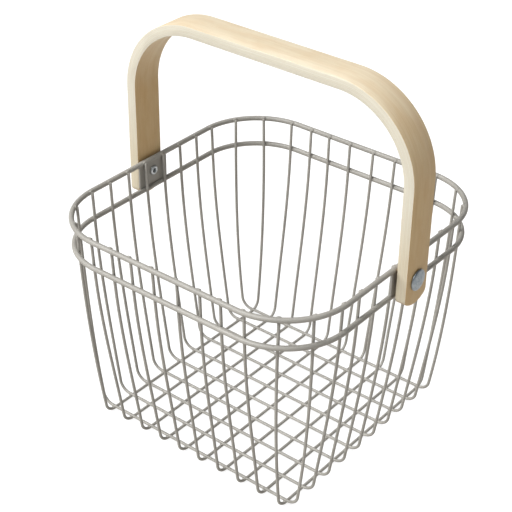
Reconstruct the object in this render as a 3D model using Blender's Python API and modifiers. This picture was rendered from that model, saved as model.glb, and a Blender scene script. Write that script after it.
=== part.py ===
"""Square wire basket with a swinging handle of bent laminated wood.

Two thick rim hoops hold twenty thin U-shaped bars: ten run front to back under the base and
rise on the front and back walls, ten cross them and rise on the side walls. Between the rims,
in the middle of each side wall, sits a steel plate with a rivet. The handle swings on the rivets.

Metres, +Z up. The origin is on the floor below the middle of the basket. X runs from hinge
to hinge, and Y from front to back.
"""

import math

import bpy
import bmesh

# Stock and joints
RIM_WIRE = 0.0040            # diameter of the rim wire with its coating
BAR_WIRE = 0.0023            # diameter of the bar wire with its coating
WELD_GAP = 0.0003            # gap left between pieces that are welded or touch
BAR_SIDES = 8
RIM_SIDES = 10

# Rims, measured on the centreline of the wire
BASKET_HEIGHT = 0.1800       # floor to the top of the upper rim
TOP_RIM_HALF_X = 0.1168
TOP_RIM_HALF_Y = 0.1184
TOP_RIM_CORNER = 0.0526
RIM_SPACING = 0.0228         # height from the lower rim to the upper rim
LOW_RIM_INSET_X = 0.0010     # how far the lower rim lies inside the upper one
LOW_RIM_INSET_Y = 0.0012
LOW_RIM_CORNER_INSET = 0.0019
RIM_CORNER_STEPS = 12

# Bars
LONG_BAR_PITCH = 0.0190      # between the bars that run front to back
CROSS_BAR_PITCH = 0.0193     # between the bars that run side to side
BARS_PER_SIDE = 5            # on each side of the middle
BEND_RADIUS = 0.0095         # of the bar's centreline at the base
BEND_ANGLE = math.radians(81.5)
LONG_BAR_LEAD = -0.0010      # from the outermost crossing bar outwards to the start of the bend
CROSS_BAR_LEAD = 0.0014
BEND_STEPS = 6
WALL_STEPS = 4
BAR_END_RISE = 0.0003        # end of a bar above the middle of the upper rim

# Places of the bars along the upper rim, from the middle outwards, as shares of its half size
LONG_BAR_TOP_SHARES = (0.095, 0.269, 0.423, 0.592, 0.786)
CROSS_BAR_TOP_SHARES = (0.086, 0.249, 0.416, 0.578, 0.768)

# Hinge plates
PLATE_WIDTH = 0.0305
PLATE_THICKNESS = 0.0015
PLATE_CORNER = 0.0012
PLATE_CORNER_STEPS = 3

# Handle
PIVOT_RAISE = 0.0016         # rivet's axis above the middle between the rims
HANDLE_RISE = 0.1367         # rivet's axis to the top of the handle
HANDLE_WIDTH = 0.0260
HANDLE_THICKNESS = 0.0083
HANDLE_BEND = 0.0640         # outer radius of the two upper bends
HANDLE_BEND_STEPS = 16
LEG_SIDE_GAP = 0.0008        # between the rims and a leg
LEG_BELOW_PIVOT = 0.0195     # rivet's axis to the lower end of a leg
LEG_END_RADIUS = 0.0195      # of the arc across the lower end
LEG_END_CORNER = 0.0050      # radius where that arc meets the sides of the leg
LEG_END_STEPS = 8
LEG_CORNER_STEPS = 5

# Rivets and washers
RIVET_SHANK = 0.0050
RIVET_HEAD = 0.0160
RIVET_HEAD_HEIGHT = 0.0024
RIVET_HEAD_EDGE = 0.0008     # thickness of the head at its rim
RIVET_HEAD_STEPS = 5
RIVET_ROLL = 0.0076          # diameter of the rolled inner end
RIVET_ROLL_HEIGHT = 0.0014
RIVET_ROLL_CORNER = 0.0004
RIVET_HOLLOW = 0.0030
RIVET_HOLLOW_DEPTH = 0.0050
RIVET_CLEARANCE = 0.0003     # round the shank, and under the head
WASHER_OUTER = 0.0130
ROUND_STEPS = 24

# How far cutters run past what they cut
OVERRUN = 0.0040

MERGE_DISTANCE = 0.00001
SMOOTH_ANGLE = math.radians(35.0)

# Places that follow from the sizes above
TOP_RIM_Z = BASKET_HEIGHT - RIM_WIRE / 2
LOW_RIM_Z = TOP_RIM_Z - RIM_SPACING
LOW_RIM_HALF_X = TOP_RIM_HALF_X - LOW_RIM_INSET_X
LOW_RIM_HALF_Y = TOP_RIM_HALF_Y - LOW_RIM_INSET_Y
LOW_RIM_CORNER = TOP_RIM_CORNER - LOW_RIM_CORNER_INSET
PIVOT_HEIGHT = (TOP_RIM_Z + LOW_RIM_Z) / 2 + PIVOT_RAISE
BAR_FLAT = BAR_WIRE * math.cos(math.pi / BAR_SIDES)
LONG_BAR_Z = BAR_FLAT / 2
CROSS_BAR_Z = LONG_BAR_Z + BAR_FLAT + WELD_GAP
RIM_TO_BAR = (RIM_WIRE + BAR_WIRE) / 2 + WELD_GAP
LEG_INNER_X = max(TOP_RIM_HALF_X, LOW_RIM_HALF_X) + RIM_WIRE / 2 + LEG_SIDE_GAP
LEG_OUTER_X = LEG_INNER_X + HANDLE_THICKNESS
PLATE_OUTER_X = TOP_RIM_HALF_X + PLATE_THICKNESS / 2
BORE = RIVET_SHANK + 2 * RIVET_CLEARANCE


def clear_scene():
    for item in list(bpy.data.objects):
        bpy.data.objects.remove(item, do_unlink=True)


def new_collection(name):
    collection = bpy.data.collections.new(name)
    bpy.context.scene.collection.children.link(collection)
    return collection


def new_material(name, colour, roughness, metallic):
    material = bpy.data.materials.new(name)
    material.use_nodes = True
    shader = material.node_tree.nodes["Principled BSDF"]
    shader.inputs["Base Color"].default_value = (*colour, 1.0)
    shader.inputs["Roughness"].default_value = roughness
    shader.inputs["Metallic"].default_value = metallic
    return material


def coated_steel():
    return new_material("coated_steel", (0.300, 0.276, 0.240), 0.45, 0.0)


def birch_veneer():
    return new_material("birch_veneer", (0.640, 0.500, 0.330), 0.55, 0.0)


def zinc_plate():
    return new_material("zinc_plate", (0.560, 0.580, 0.600), 0.35, 1.0)


def nylon():
    return new_material("nylon", (0.030, 0.029, 0.027), 0.50, 0.0)


def on_arc(centre, radius, angle):
    return (centre[0] + radius * math.cos(angle), centre[1] + radius * math.sin(angle))


def arc_points(centre, radius, start, end, steps):
    return [on_arc(centre, radius, start + (end - start) * step / steps) for step in range(steps + 1)]


def rounded_rectangle(half_x, half_y, corner, steps):
    """Outline of a rectangle with round corners, counter-clockwise."""
    points = []
    for quarter, (side_x, side_y) in enumerate(((1, 1), (-1, 1), (-1, -1), (1, -1))):
        centre = (side_x * (half_x - corner), side_y * (half_y - corner))
        start = quarter * math.pi / 2
        points += arc_points(centre, corner, start, start + math.pi / 2, steps)
    return points


def add_poly_spline(curve, points, closed):
    spline = curve.splines.new("POLY")
    spline.points.add(len(points) - 1)
    for target, point in zip(spline.points, points):
        target.co = (*point, 1.0)
    spline.use_cyclic_u = closed
    spline.use_smooth = True
    return spline


def add_wire(collection, name, points, diameter, sides, closed, material):
    """A round wire along the points, with a flat of its section facing straight down."""
    curve = bpy.data.curves.new(name, "CURVE")
    curve.dimensions = "3D"
    curve.twist_mode = "Z_UP"
    curve.bevel_depth = diameter / 2
    curve.bevel_resolution = sides // 2 - 2
    curve.use_fill_caps = not closed
    spline = add_poly_spline(curve, points, closed)
    for point in spline.points:
        point.tilt = math.pi / sides
    curve.materials.append(material)
    wire = bpy.data.objects.new(name, curve)
    collection.objects.link(wire)
    return wire


def add_flat_piece(collection, name, outlines, thickness, material):
    """A flat piece from closed outlines in its own XY plane, centred on that plane."""
    curve = bpy.data.curves.new(name, "CURVE")
    curve.dimensions = "2D"
    curve.fill_mode = "BOTH"
    curve.extrude = thickness / 2
    for outline in outlines:
        spline = add_poly_spline(curve, [(x, y, 0.0) for x, y in outline], True)
        spline.use_smooth = False
    curve.materials.append(material)
    piece = bpy.data.objects.new(name, curve)
    collection.objects.link(piece)
    return piece


def curve_to_mesh(piece):
    """Turn a curve object into a mesh object of the same name, with its caps welded on."""
    bpy.context.view_layer.update()
    evaluated = piece.evaluated_get(bpy.context.evaluated_depsgraph_get())
    mesh = bpy.data.meshes.new_from_object(evaluated)
    shape = bmesh.new()
    shape.from_mesh(mesh)
    bmesh.ops.remove_doubles(shape, verts=shape.verts, dist=MERGE_DISTANCE)
    bmesh.ops.recalc_face_normals(shape, faces=shape.faces)
    shape.to_mesh(mesh)
    shape.free()
    name = piece.name
    place = piece.matrix_world.copy()
    collection = piece.users_collection[0]
    bpy.data.objects.remove(piece, do_unlink=True)
    solid = bpy.data.objects.new(name, mesh)
    solid.matrix_world = place
    collection.objects.link(solid)
    return solid


def add_turned(collection, name, profile, material):
    """Turn a profile of (radius, height) points about the piece's own Z axis."""
    mesh = bpy.data.meshes.new(name)
    shape = bmesh.new()
    corners = [shape.verts.new((radius, 0.0, height)) for radius, height in profile]
    for first, second in zip(corners, corners[1:]):
        shape.edges.new((first, second))
    shape.to_mesh(mesh)
    shape.free()
    mesh.materials.append(material)
    piece = bpy.data.objects.new(name, mesh)
    collection.objects.link(piece)
    screw = piece.modifiers.new("turn", "SCREW")
    screw.steps = ROUND_STEPS
    screw.render_steps = ROUND_STEPS
    screw.use_merge_vertices = True
    screw.merge_threshold = MERGE_DISTANCE
    screw.use_smooth_shade = True
    return piece


def add_cutter(collection, name, outlines, length):
    cutter = add_flat_piece(collection, name, outlines, length, nylon())
    cutter.rotation_euler = (math.pi / 2, 0.0, math.pi / 2)
    cutter.location = (0.0, 0.0, PIVOT_HEIGHT)
    cutter = curve_to_mesh(cutter)
    cutter.hide_render = True
    cutter.display_type = "WIRE"
    return cutter


def cut(piece, cutter, name):
    boolean = piece.modifiers.new(name, "BOOLEAN")
    boolean.operation = "DIFFERENCE"
    boolean.solver = "EXACT"
    boolean.object = cutter


def rim_reach(place, half_along, half_out, corner):
    """How far out a bar stands at a place along a rim, just inside the rim's wire."""
    along = half_along - RIM_TO_BAR
    out = half_out - RIM_TO_BAR
    radius = corner - RIM_TO_BAR
    past_straight = abs(place) - (along - radius)
    if past_straight <= 0:
        return out
    return out - radius + math.sqrt(max(radius**2 - past_straight**2, 0.0))


def wall_curve(foot, foot_slope, head, head_slope, steps):
    """Points between foot and head, each (place, out, z), with given slopes per unit of height."""
    height = head[2] - foot[2]
    points = []
    for step in range(1, steps + 1):
        t = step / steps
        weights = (
            2 * t**3 - 3 * t**2 + 1,
            t**3 - 2 * t**2 + t,
            3 * t**2 - 2 * t**3,
            t**3 - t**2,
        )
        place = [
            weights[0] * foot[axis] + weights[1] * height * foot_slope[axis]
            + weights[2] * head[axis] + weights[3] * height * head_slope[axis]
            for axis in range(2)
        ]
        points.append((place[0], place[1], foot[2] + t * height))
    return points


def bar_leg(base_place, top_place, run, base_z, top_sizes, low_sizes):
    """Half of a U-shaped bar, from its bend to its upper end, as (place, out, z) points."""
    start = -math.pi / 2
    bend = arc_points((run, base_z + BEND_RADIUS), BEND_RADIUS, start, start + BEND_ANGLE, BEND_STEPS)
    points = [(base_place, out, z) for out, z in bend]
    foot = points[-1]
    low_share = (LOW_RIM_Z - foot[2]) / (TOP_RIM_Z - foot[2])
    low_place = base_place + (top_place - base_place) * low_share
    low = (low_place, rim_reach(low_place, *low_sizes), LOW_RIM_Z)
    top = (top_place, rim_reach(top_place, *top_sizes), TOP_RIM_Z)
    spread = (low_place - base_place) / (LOW_RIM_Z - foot[2])
    upper = [(top[axis] - low[axis]) / RIM_SPACING for axis in range(2)]
    points += wall_curve(foot, (spread, 1 / math.tan(BEND_ANGLE)), low, upper, WALL_STEPS)
    end = [top[axis] + upper[axis] * BAR_END_RISE for axis in range(2)]
    points.append((end[0], end[1], TOP_RIM_Z + BAR_END_RISE))
    return points


def bar_points(base_place, top_place, run, base_z, top_sizes, low_sizes):
    """A whole U-shaped bar: one leg, the straight run under the base, and the other leg."""
    leg = bar_leg(base_place, top_place, run, base_z, top_sizes, low_sizes)
    near_leg = [(place, -out, z) for place, out, z in reversed(leg)]
    return near_leg + leg


def bar_places(pitch, half_size, shares):
    """Pairs of (place on the base, place on the upper rim) for every bar of one direction."""
    pairs = []
    for side in (-1, 1):
        for number in range(BARS_PER_SIDE):
            pairs.append((side * (number + 1 / 2) * pitch, side * half_size * shares[number]))
    return sorted(pairs)


def add_rims(collection, material):
    hoops = (
        ("top_rim", TOP_RIM_HALF_X, TOP_RIM_HALF_Y, TOP_RIM_CORNER, TOP_RIM_Z),
        ("lower_rim", LOW_RIM_HALF_X, LOW_RIM_HALF_Y, LOW_RIM_CORNER, LOW_RIM_Z),
    )
    for name, half_x, half_y, corner, height in hoops:
        outline = rounded_rectangle(half_x, half_y, corner, RIM_CORNER_STEPS)
        points = [(x, y, 0.0) for x, y in outline]
        hoop = add_wire(collection, name, points, RIM_WIRE, RIM_SIDES, True, material)
        hoop.location = (0.0, 0.0, height)


def add_long_bars(collection, material):
    run = (BARS_PER_SIDE - 1 / 2) * CROSS_BAR_PITCH + LONG_BAR_LEAD
    top_sizes = (TOP_RIM_HALF_X, TOP_RIM_HALF_Y, TOP_RIM_CORNER)
    low_sizes = (LOW_RIM_HALF_X, LOW_RIM_HALF_Y, LOW_RIM_CORNER)
    pairs = bar_places(LONG_BAR_PITCH, TOP_RIM_HALF_X, LONG_BAR_TOP_SHARES)
    for number, (base_place, top_place) in enumerate(pairs, start=1):
        route = bar_points(base_place, top_place, run, LONG_BAR_Z, top_sizes, low_sizes)
        points = [(place - base_place, out, z) for place, out, z in route]
        name = f"long_bar_{number:02d}"
        bar = add_wire(collection, name, points, BAR_WIRE, BAR_SIDES, False, material)
        bar.location = (base_place, 0.0, 0.0)


def add_cross_bars(collection, material):
    run = (BARS_PER_SIDE - 1 / 2) * LONG_BAR_PITCH + CROSS_BAR_LEAD
    top_sizes = (TOP_RIM_HALF_Y, TOP_RIM_HALF_X, TOP_RIM_CORNER)
    low_sizes = (LOW_RIM_HALF_Y, LOW_RIM_HALF_X, LOW_RIM_CORNER)
    pairs = bar_places(CROSS_BAR_PITCH, TOP_RIM_HALF_Y, CROSS_BAR_TOP_SHARES)
    for number, (base_place, top_place) in enumerate(pairs, start=1):
        route = bar_points(base_place, top_place, run, CROSS_BAR_Z, top_sizes, low_sizes)
        points = [(out, place - base_place, z) for place, out, z in route]
        name = f"cross_bar_{number:02d}"
        bar = add_wire(collection, name, points, BAR_WIRE, BAR_SIDES, False, material)
        bar.location = (0.0, base_place, 0.0)


def add_hinge_plate(collection, side, side_name, material):
    """A plate that fills the space between the rims, with a bore for the rivet."""
    top = TOP_RIM_Z - RIM_WIRE / 2 - WELD_GAP
    bottom = LOW_RIM_Z + RIM_WIRE / 2 + WELD_GAP
    middle = (top + bottom) / 2
    edge = rounded_rectangle(PLATE_WIDTH / 2, (top - bottom) / 2, PLATE_CORNER, PLATE_CORNER_STEPS)
    bore = arc_points((0.0, PIVOT_HEIGHT - middle), BORE / 2, 0.0, 2 * math.pi, ROUND_STEPS)[:-1]
    name = f"hinge_plate_{side_name}"
    plate = add_flat_piece(collection, name, (edge, bore), PLATE_THICKNESS, material)
    plate.rotation_euler = (math.pi / 2, 0.0, math.pi / 2)
    plate.location = (side * TOP_RIM_HALF_X, 0.0, middle)


def rivet_profile():
    """Outline of a rivet, from the middle of its head to the bottom of its hollow end."""
    grip = LEG_OUTER_X + RIVET_CLEARANCE - (PLATE_OUTER_X - PLATE_THICKNESS - RIVET_CLEARANCE)
    dome = RIVET_HEAD_HEIGHT - RIVET_HEAD_EDGE
    points = []
    for step in range(RIVET_HEAD_STEPS + 1):
        angle = math.pi / 2 * (1 - step / RIVET_HEAD_STEPS)
        points.append((RIVET_HEAD / 2 * math.cos(angle), RIVET_HEAD_EDGE + dome * math.sin(angle)))
    points[0] = (0.0, RIVET_HEAD_HEIGHT)
    points += [
        (RIVET_HEAD / 2, 0.0),
        (RIVET_SHANK / 2, 0.0),
        (RIVET_SHANK / 2, -grip),
        (RIVET_ROLL / 2 - RIVET_ROLL_CORNER, -grip),
        (RIVET_ROLL / 2, -grip - RIVET_ROLL_CORNER),
        (RIVET_ROLL / 2, -grip - RIVET_ROLL_HEIGHT + RIVET_ROLL_CORNER),
        (RIVET_ROLL / 2 - RIVET_ROLL_CORNER, -grip - RIVET_ROLL_HEIGHT),
        (RIVET_HOLLOW / 2 + RIVET_ROLL_CORNER, -grip - RIVET_ROLL_HEIGHT),
        (RIVET_HOLLOW / 2, -grip - RIVET_ROLL_HEIGHT + RIVET_ROLL_CORNER),
        (RIVET_HOLLOW / 2, -grip - RIVET_ROLL_HEIGHT + RIVET_HOLLOW_DEPTH),
        (0.0, -grip - RIVET_ROLL_HEIGHT + RIVET_HOLLOW_DEPTH),
    ]
    return points


def add_rivet(collection, side, side_name, material):
    rivet = add_turned(collection, f"rivet_{side_name}", rivet_profile(), material)
    rivet.rotation_euler = (0.0, side * math.pi / 2, 0.0)
    rivet.location = (side * (LEG_OUTER_X + RIVET_CLEARANCE), 0.0, PIVOT_HEIGHT)


def add_washer(collection, side, side_name, material):
    """A ring that keeps the leg off the plate."""
    thickness = LEG_INNER_X - PLATE_OUTER_X - 2 * WELD_GAP
    rim = arc_points((0.0, 0.0), WASHER_OUTER / 2, 0.0, 2 * math.pi, ROUND_STEPS)[:-1]
    bore = arc_points((0.0, 0.0), BORE / 2, 0.0, 2 * math.pi, ROUND_STEPS)[:-1]
    washer = add_flat_piece(collection, f"washer_{side_name}", (rim, bore), thickness, material)
    washer.rotation_euler = (math.pi / 2, 0.0, math.pi / 2)
    washer.location = (side * (PLATE_OUTER_X + LEG_INNER_X) / 2, 0.0, PIVOT_HEIGHT)


def handle_outline():
    """The handle seen from the front: down the outside of the arch and back up its inside."""
    foot = -LEG_BELOW_PIVOT - OVERRUN
    outline = [(-LEG_OUTER_X, foot)]
    inner = []
    centre_x = LEG_OUTER_X - HANDLE_BEND
    centre_z = HANDLE_RISE - HANDLE_BEND
    inner_bend = HANDLE_BEND - HANDLE_THICKNESS
    for side, start in ((-1, math.pi), (1, math.pi / 2)):
        centre = (side * centre_x, centre_z)
        outline += arc_points(centre, HANDLE_BEND, start, start - math.pi / 2, HANDLE_BEND_STEPS)
        inner += arc_points(centre, inner_bend, start, start - math.pi / 2, HANDLE_BEND_STEPS)
    outline.append((LEG_OUTER_X, foot))
    outline.append((LEG_INNER_X, foot))
    outline += reversed(inner)
    outline.append((-LEG_INNER_X, foot))
    return outline


def leg_end_outline():
    """What is cut off below the round end of a leg, seen from the side."""
    down = -math.pi / 2
    middle_z = LEG_END_RADIUS - LEG_BELOW_PIVOT
    corner_y = HANDLE_WIDTH / 2 - LEG_END_CORNER
    reach = math.asin(corner_y / (LEG_END_RADIUS - LEG_END_CORNER))
    corner_z = middle_z - corner_y / math.tan(reach)
    near = arc_points((-corner_y, corner_z), LEG_END_CORNER, -math.pi, down - reach, LEG_CORNER_STEPS)
    arc = arc_points((0.0, middle_z), LEG_END_RADIUS, down - reach, down + reach, LEG_END_STEPS)
    far = [(-y, z) for y, z in reversed(near)]
    side = HANDLE_WIDTH / 2 + OVERRUN
    bottom = -LEG_BELOW_PIVOT - 2 * OVERRUN
    return [(-side, bottom), (-side, corner_z)] + near + arc[1:-1] + far + [(side, corner_z), (side, bottom)]


def add_handle(collection, cutters, material):
    handle = add_flat_piece(collection, "handle", (handle_outline(),), HANDLE_WIDTH, material)
    handle.rotation_euler = (math.pi / 2, 0.0, 0.0)
    handle.location = (0.0, 0.0, PIVOT_HEIGHT)
    handle = curve_to_mesh(handle)
    length = 2 * (LEG_OUTER_X + OVERRUN)
    bore = arc_points((0.0, 0.0), BORE / 2, 0.0, 2 * math.pi, ROUND_STEPS)[:-1]
    cut(handle, add_cutter(cutters, "leg_end_cutter", (leg_end_outline(),), length), "leg_ends")
    cut(handle, add_cutter(cutters, "bore_cutter", (bore,), length), "bores")
    handle.data.shade_smooth()
    handle.data.set_sharp_from_angle(angle=SMOOTH_ANGLE)


def main():
    clear_scene()
    basket = new_collection("wire_basket")
    cutters = new_collection("cutters")
    steel = coated_steel()
    wood = birch_veneer()
    zinc = zinc_plate()
    washer_nylon = nylon()
    add_rims(basket, steel)
    add_long_bars(basket, steel)
    add_cross_bars(basket, steel)
    for side, side_name in ((-1, "left"), (1, "right")):
        add_hinge_plate(basket, side, side_name, steel)
        add_washer(basket, side, side_name, washer_nylon)
        add_rivet(basket, side, side_name, zinc)
    add_handle(basket, cutters, wood)


main()
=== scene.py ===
"""Looks of the wire basket: smooth coated wires with their welds, a laminated wooden handle,
zinc rivets, and a plain studio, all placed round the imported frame.

Metres, +Z up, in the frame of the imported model.
"""

import math
from collections import namedtuple

import bmesh
import bpy
from mathutils import Matrix, Vector


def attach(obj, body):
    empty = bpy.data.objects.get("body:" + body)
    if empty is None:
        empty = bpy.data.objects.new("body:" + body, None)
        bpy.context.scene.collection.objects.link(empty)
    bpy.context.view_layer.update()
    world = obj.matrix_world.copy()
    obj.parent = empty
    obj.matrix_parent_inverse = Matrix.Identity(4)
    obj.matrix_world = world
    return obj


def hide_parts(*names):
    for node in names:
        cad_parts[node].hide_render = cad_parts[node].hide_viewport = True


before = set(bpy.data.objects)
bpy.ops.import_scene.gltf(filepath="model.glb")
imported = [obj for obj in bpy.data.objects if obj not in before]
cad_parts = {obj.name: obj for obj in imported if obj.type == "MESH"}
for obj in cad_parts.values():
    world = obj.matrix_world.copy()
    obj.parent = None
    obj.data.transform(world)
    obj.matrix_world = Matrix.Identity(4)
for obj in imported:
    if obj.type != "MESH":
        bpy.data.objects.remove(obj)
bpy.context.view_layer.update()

# Sizes of the basket, as in the source of the frame; a rim is (half X, half Y, corner radius)
RIM_WIRE = 0.0040
BAR_WIRE = 0.0023
WELD_GAP = 0.0003
BASKET_HEIGHT = 0.1800
TOP_RIM = (0.1168, 0.1184, 0.0526)
RIM_SPACING = 0.0228
LOW_RIM = (0.1158, 0.1172, 0.0507)
LONG_BAR_PITCH = 0.0190
CROSS_BAR_PITCH = 0.0193
BARS_PER_SIDE = 5
BEND_RADIUS = 0.0095
BEND_ANGLE = math.radians(81.5)
LONG_BAR_LEAD = -0.0010
CROSS_BAR_LEAD = 0.0014
LONG_BAR_TOP_SHARES = (0.095, 0.269, 0.423, 0.592, 0.786)
CROSS_BAR_TOP_SHARES = (0.086, 0.249, 0.416, 0.578, 0.768)
PLATE_WIDTH = 0.0305
PLATE_THICKNESS = 0.0015
PLATE_CORNER = 0.0012
PIVOT_RAISE = 0.0016
HANDLE_RISE = 0.1367
HANDLE_WIDTH = 0.0260
HANDLE_THICKNESS = 0.0083
HANDLE_BEND = 0.0640
LEG_SIDE_GAP = 0.0008
LEG_BELOW_PIVOT = 0.0195
LEG_END_RADIUS = 0.0195
LEG_END_CORNER = 0.0050
RIVET_SHANK = 0.0050
RIVET_HEAD = 0.0160
RIVET_HEAD_HEIGHT = 0.0024
RIVET_HEAD_EDGE = 0.0008
RIVET_ROLL = 0.0076
RIVET_ROLL_HEIGHT = 0.0014
RIVET_HOLLOW = 0.0030
RIVET_HOLLOW_DEPTH = 0.0050
RIVET_CLEARANCE = 0.0003
WASHER_OUTER = 0.0130

# Details of the wires and welds that only the looks have. The taper of a bar's end is given as
# (radii back from the end, share of the radius), the sizes of a weld as (lower rim, top rim).
BAR_SET_IN = 0.0007
BAR_END_RISE = 0.0008
BAR_END_TAPER = ((0.30, 0.97), (0.10, 0.84), (0.00, 0.58))
WELD_REACH = 0.0017
BASE_WELD_DEPTH = BAR_WIRE * 0.36
RIM_WELD_DEPTHS = (BAR_WIRE * 0.40, BAR_WIRE * 0.55)
RIM_WELD_REACHES = (WELD_REACH, 0.0023)
RIM_WELD_RISES = (0.0, 0.0005)

# Details of the plates, rivets and washers that only the looks have. The rim of a rivet's head
# is given as (added radius, share of the edge's height), and the end of its hollow as (share of
# the hollow's diameter, drop).
PLATE_SEAT = 0.0002
PLATE_EDGE = 0.00025
RIVET_RIM = ((0.00004, 0.90), (0.0, 0.45), (-0.0013, 0.35), (-0.0014, 0.0))
RIVET_HOLLOW_END = ((1 / 2, 0.0006), (1 / 3, 0.0001), (0.0, 0.0))
WASHER_EDGE = 0.0002

# Details of the handle that only the looks have. A face whose normal lies nearer to Y than
# EDGE_FACING is a sawn edge, and one further from X than END_FACING is a leg's end.
HANDLE_EDGE = 0.0004
HANDLE_EDGE_ANGLE = math.radians(50.0)
PLY_COUNT = 7
PLY_WANDER = 0.00012
CUT_SPARE = 0.0040
FACE_LOOK, EDGE_LOOK, END_LOOK = range(3)
EDGE_FACING = 0.72
END_FACING = 0.60

# Places that follow from them
TOP_RIM_Z = BASKET_HEIGHT - RIM_WIRE / 2
LOW_RIM_Z = TOP_RIM_Z - RIM_SPACING
PIVOT_HEIGHT = (TOP_RIM_Z + LOW_RIM_Z) / 2 + PIVOT_RAISE
BAR_FLAT = BAR_WIRE * math.cos(math.pi / 8)
LONG_BAR_Z = BAR_WIRE / 2
CROSS_BAR_Z = BAR_FLAT * 1.5 + WELD_GAP
BEND_TOP = BEND_RADIUS * (1 - math.cos(BEND_ANGLE))
RIM_TO_BAR = (RIM_WIRE + BAR_WIRE) / 2 - BAR_SET_IN
LEG_INNER_X = TOP_RIM[0] + RIM_WIRE / 2 + LEG_SIDE_GAP
LEG_OUTER_X = LEG_INNER_X + HANDLE_THICKNESS
PLATE_OUTER_X = TOP_RIM[0] + PLATE_THICKNESS / 2
BORE = RIVET_SHANK + 2 * RIVET_CLEARANCE

# The two hinges, with the sign of X on their side
SIDES = ((-1, "left"), (1, "right"))

# Fineness of the smooth pieces
RIM_SIDES = 20
BAR_SIDES = 14
RIM_CORNER_STEPS = 28
BEND_STEPS = 12
WALL_STEPS = 14
WELD_FINENESS = 2
PLATE_CORNER_STEPS = 6
BORE_STEPS = 48
ROUND_STEPS = 64
RIVET_CURVE_STEPS = 14
ARCH_STEPS = 36
LEG_CORNER_STEPS = 10
LEG_END_STEPS = 24
SHARP_ANGLE = math.radians(40.0)

# Colours, as linear red, green and blue
WHITE = (1.0, 1.0, 1.0)
COAT = ((0.278, 0.267, 0.243), (0.322, 0.310, 0.282))
COAT_FLECK = (0.86, 0.86, 0.86)
ZINC = ((0.235, 0.280, 0.320), (0.360, 0.405, 0.445))
# Painted highlight: a paler zinc for the rolled ends of the rivets
ZINC_ROLLED_HIGHLIGHT = (0.58, 0.62, 0.65)
NYLON = ((0.026, 0.025, 0.024), (0.036, 0.035, 0.033))
FACE = ((0.635, 0.555, 0.410), (0.695, 0.620, 0.475), (0.735, 0.670, 0.535))
# Painted shade: a darker, warmer face colour that the legs take on
FACE_LEG_SHADE = (0.615, 0.425, 0.185)
FACE_STREAK = (0.91, 0.87, 0.83)
FACE_WAVE = (0.97, 0.93, 0.88)
FACE_PATCH = (0.955, 0.900, 0.840)
FACE_PORE = (0.70, 0.62, 0.52)
EDGE = ((0.530, 0.495, 0.405), (0.600, 0.575, 0.485), (0.650, 0.630, 0.550))
EDGE_CROSS_PLY = (0.55, 0.49, 0.38)
EDGE_GLUE = (0.36, 0.27, 0.17)
EDGE_PORE = (0.72, 0.64, 0.53)
# Painted shade: darkens and warms the ply edges on the lower legs
EDGE_LEG_SHADE = (0.95, 0.90, 0.82)
END = ((0.40, 0.30, 0.19), (0.52, 0.41, 0.28))
END_CROSS_PLY = (0.56, 0.46, 0.33)
END_GLUE = (0.36, 0.26, 0.17)

# How far from the middle of the handle its legs take on a painted shade, darker and warmer, and
# how fully
FACE_LEG_SHADE_REACH = (0.072, 0.165, 0.8)
EDGE_LEG_SHADE_REACH = (0.170, 0.213, 1.0)

# Heights in a rivet between which the painted highlight on its rolled end starts
ROLLED_HIGHLIGHT_FROM = (-0.0100, -0.0085)

# Camera
CAMERA_PLACE = (0.5216, -0.6751, 0.6770)
CAMERA_AZIMUTH = math.radians(38.374)
CAMERA_ELEVATION = math.radians(32.414)
CAMERA_ROLL = math.radians(0.661)
CAMERA_FOCUS = 1351.0 / 512
SENSOR = 36.0

# Studio
STUDIO_REACH = 4.0
BACKDROP_RADIUS = STUDIO_REACH * 0.9
CAMERA_REACH = STUDIO_REACH * 4
FLOOR_LIGHT = (0.84, 0.80, 0.75)
SKY_LIGHT = (0.20, 0.20, 0.20)
HORIZON = (0.48, 0.52)
FLOOR_COLOUR = (0.23, 0.23, 0.23)
FLOOR_GLOW = 0.84
BACKDROP_COLOUR = (0.02, 0.02, 0.02)
BACKDROP_GLOW = 1.0
SUN_DIRECTION = (-0.40, -0.70, 1.0)
SUN_STRENGTH = 5.15
SUN_SPREAD = math.radians(60.0)


def make_camera():
    data = bpy.data.cameras.new("camera")
    data.sensor_width = SENSOR
    data.sensor_fit = "HORIZONTAL"
    data.lens = CAMERA_FOCUS * SENSOR
    data.clip_end = CAMERA_REACH
    camera = bpy.data.objects.new("camera", data)
    bpy.context.scene.collection.objects.link(camera)
    look = Vector((
        -math.sin(CAMERA_AZIMUTH) * math.cos(CAMERA_ELEVATION),
        math.cos(CAMERA_AZIMUTH) * math.cos(CAMERA_ELEVATION),
        -math.sin(CAMERA_ELEVATION),
    ))
    right = look.cross(Vector((0, 0, 1))).normalized()
    up = right.cross(look)
    turned_right = right * math.cos(CAMERA_ROLL) + up * math.sin(CAMERA_ROLL)
    turned_up = up * math.cos(CAMERA_ROLL) - right * math.sin(CAMERA_ROLL)
    axes = Matrix((turned_right, turned_up, -look)).transposed()
    camera.matrix_world = Matrix.Translation(CAMERA_PLACE) @ axes.to_4x4()
    bpy.context.scene.camera = camera


# Node helpers

def new_material(name):
    material = bpy.data.materials.new(name)
    material.use_nodes = True
    tree = material.node_tree
    return material, tree, tree.nodes["Principled BSDF"]


def add_node(tree, kind, **settings):
    node = tree.nodes.new(kind)
    for key, value in settings.items():
        setattr(node, key, value)
    return node


def object_place(tree):
    return add_node(tree, "ShaderNodeTexCoord").outputs["Object"]


def split(tree, vector):
    """The X, Y and Z of a vector, as outputs by name."""
    node = add_node(tree, "ShaderNodeSeparateXYZ")
    tree.links.new(vector, node.inputs["Vector"])
    return node.outputs


def noise_node(tree, vector, scale, detail, roughness=0.5):
    node = add_node(tree, "ShaderNodeTexNoise")
    node.inputs["Scale"].default_value = scale
    node.inputs["Detail"].default_value = detail
    node.inputs["Roughness"].default_value = roughness
    tree.links.new(vector, node.inputs["Vector"])
    return node.outputs["Fac"]


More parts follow.
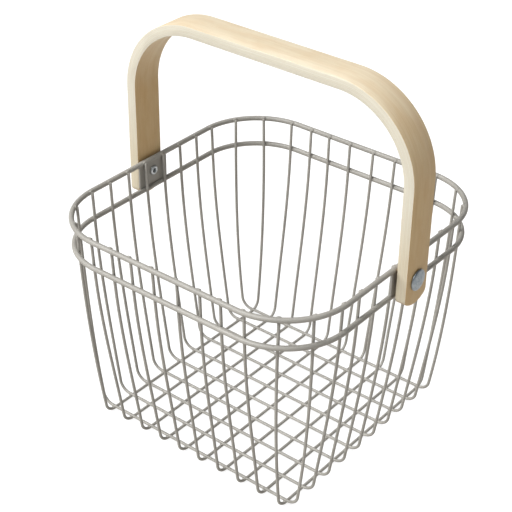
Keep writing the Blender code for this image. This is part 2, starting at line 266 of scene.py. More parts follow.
def stretched_noise(tree, vector, scales, detail, roughness=0.5):
    node = add_node(tree, "ShaderNodeMapping")
    node.inputs["Scale"].default_value = scales
    tree.links.new(vector, node.inputs["Vector"])
    return noise_node(tree, node.outputs["Vector"], 1.0, detail, roughness)


def ramp(tree, value, places, colours):
    node = add_node(tree, "ShaderNodeValToRGB")
    elements = node.color_ramp.elements
    while len(elements) < len(places):
        elements.new(0.5)
    for element, place, colour in zip(elements, places, colours):
        element.position = place
        element.color = (*colour, 1.0)
    tree.links.new(value, node.inputs["Fac"])
    return node.outputs["Color"]


def to_range(tree, value, low_in, high_in, low_out, high_out):
    node = add_node(tree, "ShaderNodeMapRange")
    for socket, number in zip(node.inputs[1:5], (low_in, high_in, low_out, high_out)):
        socket.default_value = number
    tree.links.new(value, node.inputs["Value"])
    return node.outputs["Result"]


def maths(tree, operation, first, second=0.0):
    node = add_node(tree, "ShaderNodeMath", operation=operation)
    for socket, value in zip(node.inputs, (first, second)):
        if isinstance(value, (int, float)):
            socket.default_value = value
        else:
            tree.links.new(value, socket)
    return node.outputs["Value"]


def mix_colours(tree, factor, first, second, blend="MIX"):
    node = add_node(tree, "ShaderNodeMix", data_type="RGBA", blend_type=blend)
    sockets = (node.inputs["Factor"], node.inputs[6], node.inputs[7])
    for socket, value in zip(sockets, (factor, first, second)):
        if isinstance(value, (int, float)):
            socket.default_value = value
        elif isinstance(value, tuple):
            socket.default_value = (*value, 1.0)
        else:
            tree.links.new(value, socket)
    return node.outputs[2]


def vary_roughness(tree, shader, noise, smoothest, roughest):
    tree.links.new(
        to_range(tree, noise, 0.3, 0.7, smoothest, roughest), shader.inputs["Roughness"]
    )


def bump(tree, shader, heights):
    """Stack bumps on a shader, each (height output, distance in metres, strength)."""
    normal = None
    for height, distance, strength in heights:
        node = add_node(tree, "ShaderNodeBump")
        node.inputs["Distance"].default_value = distance
        node.inputs["Strength"].default_value = strength
        tree.links.new(height, node.inputs["Height"])
        if normal:
            tree.links.new(normal, node.inputs["Normal"])
        normal = node.outputs["Normal"]
    tree.links.new(normal, shader.inputs["Normal"])


# Materials

def powder_coat():
    """Warm grey powder coat: fine orange peel, faint mottling, a little gloss."""
    material, tree, shader = new_material("powder_coat_look")
    place = object_place(tree)
    cloud = noise_node(tree, place, 38.0, 3.0)
    speck = noise_node(tree, place, 1500.0, 2.0)
    peel = noise_node(tree, place, 950.0, 2.0, 0.55)
    base = ramp(tree, cloud, (0.30, 0.70), COAT)
    flecks = ramp(tree, speck, (0.62, 0.78), (WHITE, COAT_FLECK))
    colour = mix_colours(tree, 0.6, base, flecks, "MULTIPLY")
    tree.links.new(colour, shader.inputs["Base Color"])
    vary_roughness(tree, shader, peel, 0.40, 0.54)
    shader.inputs["Specular IOR Level"].default_value = 0.55
    bump(tree, shader, ((peel, 0.00006, 0.6), (speck, 0.00002, 0.5)))
    return material


def zinc():
    """Zinc plate: dull bluish heads with fine scratches and a mottle, and rolled ends made
    paler by a painted highlight.
    """
    material, tree, shader = new_material("zinc_plate_look")
    place = object_place(tree)
    cloud = noise_node(tree, place, 420.0, 4.0)
    scratch = stretched_noise(tree, place, (6000.0, 700.0, 700.0), 2.0)
    colour = ramp(tree, cloud, (0.35, 0.65), ZINC)
    # Painted highlight: the rolled end of each rivet is made paler
    rolled_highlight = to_range(tree, split(tree, place)["Z"], *ROLLED_HIGHLIGHT_FROM, 1.0, 0.0)
    colour = mix_colours(tree, rolled_highlight, colour, ZINC_ROLLED_HIGHLIGHT)
    tree.links.new(colour, shader.inputs["Base Color"])
    shader.inputs["Metallic"].default_value = 1.0
    vary_roughness(tree, shader, scratch, 0.26, 0.42)
    bump(tree, shader, ((cloud, 0.00005, 0.5), (scratch, 0.00001, 0.4)))
    return material


def black_nylon():
    """Matt black nylon with a fine grain."""
    material, tree, shader = new_material("nylon_look")
    grain = noise_node(tree, object_place(tree), 2600.0, 3.0)
    tree.links.new(ramp(tree, grain, (0.3, 0.7), NYLON), shader.inputs["Base Color"])
    vary_roughness(tree, shader, grain, 0.42, 0.58)
    bump(tree, shader, ((grain, 0.00003, 0.5),))
    return material


def strip_place(tree):
    """Place in the bent strip: along its length, across its width, and through its plies."""
    corner_x = LEG_OUTER_X - HANDLE_BEND
    corner_z = HANDLE_RISE - HANDLE_BEND
    bend = HANDLE_BEND - HANDLE_THICKNESS / 2
    place = split(tree, object_place(tree))
    side = maths(tree, "SIGN", place["X"])
    out = maths(tree, "ABSOLUTE", place["X"])
    past_x = maths(tree, "MAXIMUM", maths(tree, "SUBTRACT", out, corner_x), 0.0)
    past_z = maths(tree, "MAXIMUM", maths(tree, "SUBTRACT", place["Z"], corner_z), 0.0)
    square_x = maths(tree, "POWER", past_x, 2.0)
    square_z = maths(tree, "POWER", past_z, 2.0)
    from_corner = maths(tree, "POWER", maths(tree, "ADD", square_x, square_z), 0.5)
    through = maths(tree, "SUBTRACT", from_corner, bend - HANDLE_THICKNESS / 2)
    turned_part = maths(tree, "MULTIPLY", maths(tree, "ARCTAN2", past_x, past_z), bend)
    down_leg = maths(tree, "MAXIMUM", maths(tree, "SUBTRACT", corner_z, place["Z"]), 0.0)
    top_part = maths(tree, "MINIMUM", out, corner_x)
    along = maths(tree, "ADD", maths(tree, "ADD", top_part, turned_part), down_leg)
    strip = add_node(tree, "ShaderNodeCombineXYZ")
    tree.links.new(maths(tree, "MULTIPLY", along, side), strip.inputs["X"])
    tree.links.new(place["Y"], strip.inputs["Y"])
    tree.links.new(through, strip.inputs["Z"])
    return strip.outputs["Vector"]


def towards_legs(tree, strip, start, end, share):
    """From 0 to a share, with the distance along the strip from the middle of the handle."""
    distance = maths(tree, "ABSOLUTE", split(tree, strip)["X"])
    return to_range(tree, distance, start, end, 0.0, share)


def plies(tree, depth):
    """Distance from the middle of a ply, in plies, and 1 in every second ply."""
    layer = maths(tree, "MULTIPLY", depth, PLY_COUNT / HANDLE_THICKNESS)
    within = maths(tree, "FRACT", layer)
    from_middle = maths(tree, "ABSOLUTE", maths(tree, "SUBTRACT", within, 0.5))
    second = maths(tree, "PINGPONG", maths(tree, "FLOOR", layer), 1.0)
    return from_middle, second


def veneer():
    """Face of the handle: pale birch with long fine grain, soft waves and small pores, and
    painted shade along the legs.
    """
    material, tree, shader = new_material("birch_face_look")
    strip = strip_place(tree)
    waver = stretched_noise(tree, strip, (9.0, 40.0, 40.0), 2.0)
    fine = stretched_noise(tree, strip, (22.0, 1500.0, 1500.0), 4.0, 0.6)
    bands = stretched_noise(tree, strip, (7.0, 190.0, 190.0), 3.0, 0.55)
    pores = stretched_noise(tree, strip, (260.0, 5200.0, 5200.0), 1.0)
    figure = stretched_noise(tree, strip, (48.0, 130.0, 130.0), 3.0, 0.55)
    base = ramp(tree, bands, (0.25, 0.55, 0.80), FACE)
    # Painted shade: the face turns darker and warmer along the legs
    leg_shade = towards_legs(tree, strip, *FACE_LEG_SHADE_REACH)
    colour = mix_colours(tree, leg_shade, base, FACE_LEG_SHADE)
    streaks = ramp(tree, fine, (0.35, 0.60), (FACE_STREAK, WHITE))
    colour = mix_colours(tree, 0.75, colour, streaks, "MULTIPLY")
    waves = ramp(tree, waver, (0.35, 0.65), (FACE_WAVE, WHITE))
    colour = mix_colours(tree, 0.8, colour, waves, "MULTIPLY")
    patches = ramp(tree, figure, (0.36, 0.60), (FACE_PATCH, WHITE))
    colour = mix_colours(tree, 0.8, colour, patches, "MULTIPLY")
    dots = ramp(tree, pores, (0.68, 0.80), (WHITE, FACE_PORE))
    colour = mix_colours(tree, 0.5, colour, dots, "MULTIPLY")
    tree.links.new(colour, shader.inputs["Base Color"])
    vary_roughness(tree, shader, fine, 0.44, 0.58)
    shader.inputs["Specular IOR Level"].default_value = 0.4
    bump(tree, shader, ((fine, 0.00005, 0.35), (pores, 0.00004, 0.3)))
    return material


def ply_edge():
    """Sawn edge of the handle: paler plies with thin glue lines between them, and painted shade
    on the lower legs.
    """
    material, tree, shader = new_material("birch_edge_look")
    strip = strip_place(tree)
    wander = stretched_noise(tree, strip, (30.0, 60.0, 60.0), 2.0)
    shift = to_range(tree, wander, 0.3, 0.7, -PLY_WANDER, PLY_WANDER)
    from_middle, second = plies(tree, maths(tree, "ADD", split(tree, strip)["Z"], shift))
    fibre = stretched_noise(tree, strip, (40.0, 900.0, 4200.0), 3.0, 0.6)
    pores = stretched_noise(tree, strip, (420.0, 2400.0, 5200.0), 1.0)
    base = ramp(tree, fibre, (0.30, 0.60, 0.80), EDGE)
    colour = mix_colours(tree, maths(tree, "MULTIPLY", second, 0.25), base, EDGE_CROSS_PLY)
    line = to_range(tree, from_middle, 0.440, 0.492, 0.0, 0.50)
    colour = mix_colours(tree, line, colour, EDGE_GLUE)
    dots = ramp(tree, pores, (0.66, 0.80), (WHITE, EDGE_PORE))
    colour = mix_colours(tree, 0.5, colour, dots, "MULTIPLY")
    # Painted shade: the ply edges turn darker and warmer on the lower legs
    leg_shade = towards_legs(tree, strip, *EDGE_LEG_SHADE_REACH)
    colour = mix_colours(tree, leg_shade, colour, EDGE_LEG_SHADE, "MULTIPLY")
    tree.links.new(colour, shader.inputs["Base Color"])
    vary_roughness(tree, shader, fibre, 0.50, 0.66)
    shader.inputs["Specular IOR Level"].default_value = 0.35
    bump(tree, shader, ((fibre, 0.00002, 0.3), (line, -0.00004, 0.5)))
    return material


def end_grain():
    """Round lower ends of the handle: darker end grain in its plies."""
    material, tree, shader = new_material("birch_end_look")
    strip = strip_place(tree)
    from_middle, second = plies(tree, split(tree, strip)["Z"])
    cells = stretched_noise(tree, strip, (3800.0, 3800.0, 3800.0), 2.0)
    base = ramp(tree, cells, (0.35, 0.65), END)
    colour = mix_colours(tree, maths(tree, "MULTIPLY", second, 0.5), base, END_CROSS_PLY)
    line = to_range(tree, from_middle, 0.43, 0.49, 0.0, 0.6)
    colour = mix_colours(tree, line, colour, END_GLUE)
    tree.links.new(colour, shader.inputs["Base Color"])
    shader.inputs["Roughness"].default_value = 0.62
    bump(tree, shader, ((cells, 0.00005, 0.5),))
    return material


# Shapes

def link(name, data, materials):
    piece = bpy.data.objects.new(name, data)
    bpy.context.scene.collection.objects.link(piece)
    for material in materials:
        data.materials.append(material)
    return piece


def link_shape(name, shape, materials, smooth=False):
    """Put a finished bmesh in the scene."""
    mesh = bpy.data.meshes.new(name)
    for face in shape.faces:
        face.smooth = smooth
    shape.to_mesh(mesh)
    shape.free()
    return link(name, mesh, materials)


def finish_piece(piece, body, slot, *nodes):
    if nodes:
        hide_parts(*nodes)
    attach(piece, body)


def arc_points(centre, radius, start, end, steps):
    points = []
    for step in range(steps + 1):
        angle = start + (end - start) * step / steps
        x = centre[0] + radius * math.cos(angle)
        y = centre[1] + radius * math.sin(angle)
        points.append((x, y))
    return points


def rounded_rectangle(half_x, half_y, corner, steps):
    points = []
    for quarter, (side_x, side_y) in enumerate(((1, 1), (-1, 1), (-1, -1), (1, -1))):
        centre = (side_x * (half_x - corner), side_y * (half_y - corner))
        start = quarter * math.pi / 2
        points += arc_points(centre, corner, start, start + math.pi / 2, steps)
    return points


def add_tube(name, points, diameter, sides, closed, material):
    """A round wire through the points, with its open ends rounded over by the coating."""
    points = [Vector(point) for point in points]
    radii = [1.0] * len(points)
    if not closed:
        for index, inner, cut in ((0, 1, slice(0, 1)), (-1, -2, slice(-1, None))):
            end = points[index].copy()
            away = (end - points[inner]).normalized() * diameter / 2
            tail = [(end - away * back, share) for back, share in BAR_END_TAPER]
            if index == 0:
                tail.reverse()
            points[cut] = [place for place, share in tail]
            radii[cut] = [share for place, share in tail]
    curve = bpy.data.curves.new(name, "CURVE")
    curve.dimensions = "3D"
    curve.twist_mode = "MINIMUM"
    curve.bevel_depth = diameter / 2
    curve.bevel_resolution = sides // 2 - 2
    curve.use_fill_caps = not closed
    spline = curve.splines.new("POLY")
    spline.points.add(len(points) - 1)
    for target, point, radius in zip(spline.points, points, radii):
        target.co = (*point, 1.0)
        target.radius = radius
    spline.use_cyclic_u = closed
    spline.use_smooth = True
    return link(name, curve, (material,))


def turned(name, profile, material):
    """A piece turned about its own Z axis from (radius, height) points, top first."""
    shape = bmesh.new()
    rings = []
    for radius, height in profile:
        if radius == 0.0:
            rings.append([shape.verts.new((0.0, 0.0, height))])
            continue
        ring = []
        for step in range(ROUND_STEPS):
            angle = 2 * math.pi * step / ROUND_STEPS
            place = (radius * math.cos(angle), radius * math.sin(angle), height)
            ring.append(shape.verts.new(place))
        rings.append(ring)
    pairs = list(zip(rings, rings[1:]))
    if len(rings[0]) > 1:
        pairs.append((rings[-1], rings[0]))
    for upper, lower in pairs:
        for step in range(ROUND_STEPS):
            after = (step + 1) % ROUND_STEPS
            if len(upper) == 1:
                shape.faces.new((upper[0], lower[step], lower[after]))
            elif len(lower) == 1:
                shape.faces.new((upper[step], lower[0], upper[after]))
            else:
                shape.faces.new((upper[step], lower[step], lower[after], upper[after]))
    bmesh.ops.recalc_face_normals(shape, faces=shape.faces)
    piece = link_shape(name, shape, (material,), smooth=True)
    piece.data.set_sharp_from_angle(angle=SHARP_ANGLE)
    return piece


def extruded(name, outline, axes, half_depth):
    """A solid from an outline in two of the axes, extruded both ways along the third."""
    shape = bmesh.new()
    ends = []
    for depth in (-half_depth, half_depth):
        ring = []
        for first, second in outline:
            place = [depth, depth, depth]
            place[axes[0]] = first
            place[axes[1]] = second
            ring.append(shape.verts.new(place))
        ends.append(ring)
    count = len(outline)
    for step in range(count):
        after = (step + 1) % count
        shape.faces.new((ends[0][step], ends[0][after], ends[1][after], ends[1][step]))
    shape.faces.new(ends[0])
    shape.faces.new(ends[1])
    bmesh.ops.recalc_face_normals(shape, faces=shape.faces)
    return link_shape(name, shape, ())


# Bars, in two families: those of one stand side by side in X (along 0), of the other in Y (1)

Family = namedtuple("Family", "stem along out base_z run places top_sizes low_sizes")


def bar_places(pitch, half_size, shares):
    """Where each bar of a family stands on the base and at the top rim."""
    pairs = []
    for side in (-1, 1):
        for number in range(BARS_PER_SIDE):
            pairs.append((side * (number + 1 / 2) * pitch, side * half_size * shares[number]))
    return sorted(pairs)


def bar_family(stem, along, base_z, pitch, shares, other_pitch, lead):
    out = 1 - along
    return Family(
        stem=stem,
        along=along,
        out=out,
        base_z=base_z,
        run=(BARS_PER_SIDE - 1 / 2) * other_pitch + lead,
        places=bar_places(pitch, TOP_RIM[along], shares),
        top_sizes=(TOP_RIM[along], TOP_RIM[out], TOP_RIM[2]),
        low_sizes=(LOW_RIM[along], LOW_RIM[out], LOW_RIM[2]),
    )


LONG_BARS = bar_family(
    "long_bar", 0, LONG_BAR_Z, LONG_BAR_PITCH, LONG_BAR_TOP_SHARES,
    CROSS_BAR_PITCH, LONG_BAR_LEAD,
)
CROSS_BARS = bar_family(
    "cross_bar", 1, CROSS_BAR_Z, CROSS_BAR_PITCH, CROSS_BAR_TOP_SHARES,
    LONG_BAR_PITCH, CROSS_BAR_LEAD,
)


def rim_reach(place, half_along, half_out, corner):
    """How far out a bar lies where it passes inside a rim at a place along the rim."""
    along = half_along - RIM_TO_BAR
    out = half_out - RIM_TO_BAR
    radius = corner - RIM_TO_BAR
    past_straight = abs(place) - (along - radius)
    if past_straight <= 0:
        return out
    return out - radius + math.sqrt(max(radius**2 - past_straight**2, 0.0))


def leg_marks(family, base_place, top_place):
    """Where a bar passes the lower rim and the upper rim, as (place, out, z)."""
    foot_z = family.base_z + BEND_TOP
    low_share = (LOW_RIM_Z - foot_z) / (TOP_RIM_Z - foot_z)
    low_place = base_place + (top_place - base_place) * low_share
    low = (low_place, rim_reach(low_place, *family.low_sizes), LOW_RIM_Z)
    top = (top_place, rim_reach(top_place, *family.top_sizes), TOP_RIM_Z)
    return low, top


def wall_curve(foot, foot_slope, head, head_slope):
    """A smooth rise from foot to head, with the given slopes at its two ends."""
    height = head[2] - foot[2]
    points = []
    for step in range(1, WALL_STEPS + 1):
        t = step / WALL_STEPS
        foot_weight = 2 * t**3 - 3 * t**2 + 1
        foot_turn = (t**3 - 2 * t**2 + t) * height
        head_weight = 3 * t**2 - 2 * t**3
        head_turn = (t**3 - t**2) * height
        place = [
            foot_weight * foot[axis] + foot_turn * foot_slope[axis]
            + head_weight * head[axis] + head_turn * head_slope[axis]
            for axis in range(2)
        ]
        points.append((place[0], place[1], foot[2] + t * height))
    return points


def bar_leg(family, base_place, top_place):
    """One leg of a bar: round the bend, up to the lower rim and past the upper one."""
    start = -math.pi / 2
    centre = (family.run, family.base_z + BEND_RADIUS)
    bend = arc_points(centre, BEND_RADIUS, start, start + BEND_ANGLE, BEND_STEPS)
    points = [(base_place, out, z) for out, z in bend]
    foot = points[-1]
    low, top = leg_marks(family, base_place, top_place)
    spread = (low[0] - base_place) / (LOW_RIM_Z - foot[2])
    upper = [(top[axis] - low[axis]) / RIM_SPACING for axis in range(2)]
    points += wall_curve(foot, (spread, 1 / math.tan(BEND_ANGLE)), low, upper)
    end = [top[axis] + upper[axis] * BAR_END_RISE for axis in range(2)]
    points.append((end[0], end[1], TOP_RIM_Z + BAR_END_RISE))
    return points


def add_bars(family, material):
    for number, (base_place, top_place) in enumerate(family.places, start=1):
        leg = bar_leg(family, base_place, top_place)
        near_leg = [(place, -out, z) for place, out, z in reversed(leg)]
        points = []
        for place, reach, z in near_leg + leg:
            point = [0.0, 0.0, z]
            point[family.along] = place
            point[family.out] = reach
            points.append(point)
        name = f"{family.stem}_{number:02d}"
        bar = add_tube(f"{name}_look", points, BAR_WIRE, BAR_SIDES, False, material)
        finish_piece(bar, "basket", "coated_steel", name)


# Welds

def weld_mesh(name, spots, material):
    """Soft lumps in one mesh, each with its centre and its three half axes as vectors."""
    shape = bmesh.new()
    for centre, first, second, third in spots:
        made = bmesh.ops.create_icosphere(shape, subdivisions=WELD_FINENESS, radius=1.0)
        for vertex in made["verts"]:
            x, y, z = vertex.co
            vertex.co = centre + first * x + second * y + third * z
    return link_shape(name, shape, (material,), smooth=True)


def base_welds(material):
    """Small welds where the bars cross on the base."""
    height = (LONG_BAR_Z + CROSS_BAR_Z) / 2
    half_axes = (
        Vector((WELD_REACH, 0, 0)),
        Vector((0, WELD_REACH, 0)),
        Vector((0, 0, BASE_WELD_DEPTH)),
    )
    spots = []
    for x, _ in LONG_BARS.places:
        for y, _ in CROSS_BARS.places:
            spots.append((Vector((x, y, height)), *half_axes))
    return weld_mesh("base_welds", spots, material)


def rim_welds(name, level, material):
    """Small welds between the bars and a rim, the lower one (level 0) or the top one (1)."""
    spots = []
    for family in (LONG_BARS, CROSS_BARS):
        half_along, _, corner = (family.low_sizes, family.top_sizes)[level]
        for base_place, top_place in family.places:
            place, reach, z = leg_marks(family, base_place, top_place)[level]
            past = max(abs(place) - (half_along - corner), 0.0)
            slope = math.asin(min(past / (corner - RIM_TO_BAR), 1.0))
            for side in (-1, 1):
                normal = Vector((0.0, 0.0, 0.0))
                normal[family.along] = math.copysign(math.sin(slope), place)
                normal[family.out] = side * math.cos(slope)
                tangent = normal.cross(Vector((0, 0, 1)))
                centre = Vector((0.0, 0.0, z))
                centre[family.along] = place
                centre[family.out] = side * reach
                centre += normal * (BAR_WIRE / 2)
                centre.z += RIM_WELD_RISES[level]
                spots.append((
                    centre,
                    normal * RIM_WELD_DEPTHS[level],
                    tangent * RIM_WELD_REACHES[level],
                    Vector((0, 0, WELD_REACH)),
                ))
    return weld_mesh(name, spots, material)


# Plates, rivets and washers

def add_plate(side, side_name, material):
    """A plate between the rims, with a bore and softened edges."""
    top = TOP_RIM_Z - RIM_WIRE / 2 + PLATE_SEAT
    bottom = LOW_RIM_Z + RIM_WIRE / 2 - PLATE_SEAT
    middle = (top + bottom) / 2
    half_width = PLATE_WIDTH / 2 - PLATE_EDGE
    half_height = (top - bottom) / 2 - PLATE_EDGE
    edge = rounded_rectangle(half_width, half_height, PLATE_CORNER, PLATE_CORNER_STEPS)
    centre = (0.0, PIVOT_HEIGHT - middle)
    bore = arc_points(centre, BORE / 2 + PLATE_EDGE, 0.0, 2 * math.pi, BORE_STEPS)[:-1]
    name = f"hinge_plate_{side_name}"
    curve = bpy.data.curves.new(f"{name}_look", "CURVE")
    curve.dimensions = "2D"
    curve.fill_mode = "BOTH"
    curve.bevel_depth = PLATE_EDGE
    curve.bevel_resolution = 2
    curve.extrude = PLATE_THICKNESS / 2 - PLATE_EDGE
    for outline in (edge, bore):
        spline = curve.splines.new("POLY")
        spline.points.add(len(outline) - 1)
        for target, (x, y) in zip(spline.points, outline):
            target.co = (x, y, 0.0, 1.0)
        spline.use_cyclic_u = True
    plate = link(f"{name}_look", curve, (material,))
    plate.rotation_euler = (math.pi / 2, 0.0, math.pi / 2)
    plate.location = (side * TOP_RIM[0], 0.0, middle)
    finish_piece(plate, "basket", "coated_steel", name)


def rivet_profile():
    """A rivet from the top of its domed head to the bottom of its hollow."""
    grip = LEG_OUTER_X + RIVET_CLEARANCE - (PLATE_OUTER_X - PLATE_THICKNESS - RIVET_CLEARANCE)
    dome = RIVET_HEAD_HEIGHT - RIVET_HEAD_EDGE
    points = [(0.0, RIVET_HEAD_HEIGHT)]
    for step in range(1, RIVET_CURVE_STEPS):
        angle = math.pi / 2 * (1 - step / RIVET_CURVE_STEPS)
        height = RIVET_HEAD_EDGE + dome * math.sin(angle)
        points.append((RIVET_HEAD / 2 * math.cos(angle), height))
    points += [(RIVET_HEAD / 2 + more, RIVET_HEAD_EDGE * share) for more, share in RIVET_RIM]
    points += [(RIVET_SHANK / 2, 0.0), (RIVET_SHANK / 2, -grip)]
    middle = (RIVET_ROLL + RIVET_HOLLOW) / 4
    half = (RIVET_ROLL - RIVET_HOLLOW) / 4
    for x, z in arc_points((0.0, 0.0), 1.0, 0.0, -math.pi, RIVET_CURVE_STEPS):
        points.append((middle + x * half, -grip + z * RIVET_ROLL_HEIGHT))
    inner_z = -grip - RIVET_ROLL_HEIGHT + RIVET_HOLLOW_DEPTH
    points += [(RIVET_HOLLOW * share, inner_z - drop) for share, drop in RIVET_HOLLOW_END]
    return points


def washer_profile():
    half = (LEG_INNER_X - PLATE_OUTER_X) / 2 - WELD_GAP
    inner = BORE / 2
    outer = WASHER_OUTER / 2
    return [
        (inner, half - WASHER_EDGE),
        (inner + WASHER_EDGE, half),
        (outer - WASHER_EDGE, half),
        (outer, half - WASHER_EDGE),
        (outer, -half + WASHER_EDGE),
        (outer - WASHER_EDGE, -half),
        (inner + WASHER_EDGE, -half),
        (inner, -half + WASHER_EDGE),
    ]


def add_turned_pair(stem, profile, centre_x, material, slot):
    for side, side_name in SIDES:
        piece = turned(f"{stem}_{side_name}_look", profile, material)
        piece.rotation_euler = (0.0, side * math.pi / 2, 0.0)
        piece.location = (side * centre_x, 0.0, PIVOT_HEIGHT)
        finish_piece(piece, "basket", slot, f"{stem}_{side_name}")


# Handle

def arch_outline():
    """The handle seen from the front: over the outside of the arch, back along its inside."""
    foot = -LEG_BELOW_PIVOT - CUT_SPARE
    inner_bend = HANDLE_BEND - HANDLE_THICKNESS
    outline = [(-LEG_OUTER_X, foot)]
    inner = []
    for side, start in ((-1, math.pi), (1, math.pi / 2)):
        centre = (side * (LEG_OUTER_X - HANDLE_BEND), HANDLE_RISE - HANDLE_BEND)
        end = start - math.pi / 2
        outline += arc_points(centre, HANDLE_BEND, start, end, ARCH_STEPS)
        inner += arc_points(centre, inner_bend, start, end, ARCH_STEPS)
    outline += [(LEG_OUTER_X, foot), (LEG_INNER_X, foot)]
    return outline + inner[::-1] + [(-LEG_INNER_X, foot)]


def leg_end_outline():
    """What is cut off below a leg, seen from the side."""
    down = -math.pi / 2
    corner_y = HANDLE_WIDTH / 2 - LEG_END_CORNER
    reach = math.asin(corner_y / (LEG_END_RADIUS - LEG_END_CORNER))
    middle_z = LEG_END_RADIUS - LEG_BELOW_PIVOT
    corner_z = middle_z - corner_y / math.tan(reach)
    corner = (-corner_y, corner_z)
    near = arc_points(corner, LEG_END_CORNER, -math.pi, down - reach, LEG_CORNER_STEPS)
    far = [(-y, z) for y, z in near[::-1]]
    middle = (0.0, middle_z)
    arc = arc_points(middle, LEG_END_RADIUS, down - reach, down + reach, LEG_END_STEPS)
    side = HANDLE_WIDTH / 2 + CUT_SPARE
    bottom = -LEG_BELOW_PIVOT - 2 * CUT_SPARE
    left_side = [(-side, bottom), (-side, corner_z)]
    right_side = [(side, corner_z), (side, bottom)]
    return left_side + near + arc[1:-1] + far + right_side


def apply_modifiers(piece):
    bpy.context.view_layer.update()
    evaluated = piece.evaluated_get(bpy.context.evaluated_depsgraph_get())
    mesh = bpy.data.meshes.new_from_object(evaluated)
    piece.modifiers.clear()
    piece.data = mesh


def cut_away(piece, cutter):
    boolean = piece.modifiers.new("cut", "BOOLEAN")
    boolean.operation = "DIFFERENCE"
    boolean.solver = "EXACT"
    boolean.object = cutter
    apply_modifiers(piece)
    bpy.data.objects.remove(cutter, do_unlink=True)


def soften_edges(piece):
    bevel = piece.modifiers.new("edges", "BEVEL")
    bevel.width = HANDLE_EDGE
    bevel.segments = 3
    bevel.limit_method = "ANGLE"
    bevel.angle_limit = HANDLE_EDGE_ANGLE
    apply_modifiers(piece)


def mark_faces(mesh):
    """Face veneer outside and inside the arch, plies on its edges, end grain below."""
    for face in mesh.polygons:
        face.use_smooth = True
        above_end = face.center.z > -LEG_BELOW_PIVOT / 2
        at_side = abs(face.center.y) > HANDLE_WIDTH / 2 - HANDLE_EDGE
        if abs(face.normal.y) > EDGE_FACING and (above_end or at_side):
            face.material_index = EDGE_LOOK
        elif face.center.z < -LEG_BELOW_PIVOT / 2 and abs(face.normal.x) < END_FACING:
            face.material_index = END_LOOK
        else:
            face.material_index = FACE_LOOK


def build_handle():
    """The bent strip, with round lower ends, softened edges and a bore in each leg."""
    past_legs = LEG_OUTER_X * 1.1
    piece = extruded("handle_look", arch_outline(), (0, 2), HANDLE_WIDTH / 2)
    cut_away(piece, extruded("leg_end_cutter", leg_end_outline(), (1, 2), past_legs))
    soften_edges(piece)
    bore = arc_points((0.0, 0.0), BORE / 2, 0.0, 2 * math.pi, BORE_STEPS)[:-1]
    cut_away(piece, extruded("bore_cutter", bore, (1, 2), past_legs))
    for material in (veneer(), ply_edge(), end_grain()):
        piece.data.materials.append(material)
    mark_faces(piece.data)
    piece.data.set_sharp_from_angle(angle=SHARP_ANGLE)
    piece.location = (0.0, 0.0, PIVOT_HEIGHT)
    finish_piece(piece, "handle", "birch_veneer", "handle")


# Basket

def build_basket():
    coat = powder_coat()
    for name, (half_x, half_y, corner), height in (
        ("top_rim", TOP_RIM, TOP_RIM_Z),
        ("lower_rim", LOW_RIM, LOW_RIM_Z),
    ):
        outline = rounded_rectangle(half_x, half_y, corner, RIM_CORNER_STEPS)
        points = [(x, y, height) for x, y in outline]
        hoop = add_tube(f"{name}_look", points, RIM_WIRE, RIM_SIDES, True, coat)
        finish_piece(hoop, "basket", "coated_steel", name)
    add_bars(LONG_BARS, coat)
    add_bars(CROSS_BARS, coat)
    finish_piece(base_welds(coat), "basket", "coated_steel")
    finish_piece(rim_welds("lower_rim_welds", 0, coat), "basket", "coated_steel")
    finish_piece(rim_welds("top_rim_welds", 1, coat), "basket", "coated_steel")
    for side, side_name in SIDES:
        add_plate(side, side_name, coat)
    rivet_x = LEG_OUTER_X + RIVET_CLEARANCE
    add_turned_pair("rivet", rivet_profile(), rivet_x, zinc(), "zinc_plate")
    washer_x = (PLATE_OUTER_X + LEG_INNER_X) / 2
    add_turned_pair("washer", washer_profile(), washer_x, black_nylon(), "nylon")


# Studio

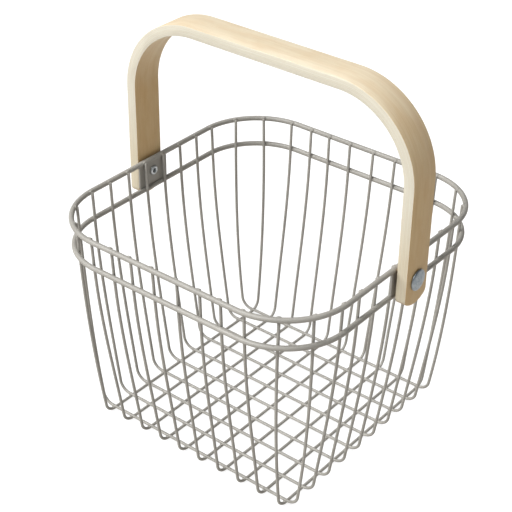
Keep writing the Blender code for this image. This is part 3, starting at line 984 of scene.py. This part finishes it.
def add_sun():
    """A soft light that comes from the direction of the sun."""
    data = bpy.data.lights.new("key_light", "SUN")
    data.energy = SUN_STRENGTH
    data.angle = SUN_SPREAD
    lamp = bpy.data.objects.new("key_light", data)
    bpy.context.scene.collection.objects.link(lamp)
    lamp.location = Vector(SUN_DIRECTION) * 2.0
    lamp.rotation_euler = Vector(SUN_DIRECTION).to_track_quat("Z", "Y").to_euler()


def glowing(name, colour, glow):
    """A plain surface that gives off white light of its own."""
    material, tree, shader = new_material(name)
    cloud = noise_node(tree, object_place(tree), 3.0, 2.0)
    paler = tuple(1.05 * value for value in colour)
    tree.links.new(ramp(tree, cloud, (0.3, 0.7), (colour, paler)), shader.inputs["Base Color"])
    shader.inputs["Roughness"].default_value = 0.9
    shader.inputs["Emission Color"].default_value = (*WHITE, 1.0)
    shader.inputs["Emission Strength"].default_value = glow
    return material


def add_stage(name, shape, colour, glow):
    """A surface of the studio, kept out of the light that falls on the object."""
    piece = link_shape(name, shape, (glowing(f"studio_{name}", colour, glow),))
    piece.visible_diffuse = False
    piece.visible_glossy = False
    piece.visible_shadow = False


def add_floor():
    shape = bmesh.new()
    corners = []
    for side_x, side_y in ((-1, -1), (1, -1), (1, 1), (-1, 1)):
        corners.append(shape.verts.new((side_x * STUDIO_REACH, side_y * STUDIO_REACH, 0.0)))
    shape.faces.new(corners)
    add_stage("floor", shape, FLOOR_COLOUR, FLOOR_GLOW)


def add_backdrop():
    shape = bmesh.new()
    bmesh.ops.create_icosphere(shape, subdivisions=4, radius=BACKDROP_RADIUS)
    add_stage("backdrop", shape, BACKDROP_COLOUR, BACKDROP_GLOW)


def add_surroundings():
    """Soft light from all round: dim from above, brighter and warmer from the floor."""
    world = bpy.data.worlds.new("studio")
    world.use_nodes = True
    tree = world.node_tree
    direction = add_node(tree, "ShaderNodeTexCoord").outputs["Generated"]
    height = to_range(tree, split(tree, direction)["Z"], -1.0, 1.0, 0.0, 1.0)
    light = ramp(tree, height, HORIZON, (FLOOR_LIGHT, SKY_LIGHT))
    tree.links.new(light, tree.nodes["Background"].inputs["Color"])
    bpy.context.scene.world = world


def build_studio():
    add_floor()
    add_backdrop()
    add_surroundings()
    add_sun()
    view = bpy.context.scene.view_settings
    view.view_transform = "Standard"
    view.look = "None"


make_camera()
build_basket()
build_handle()
build_studio()
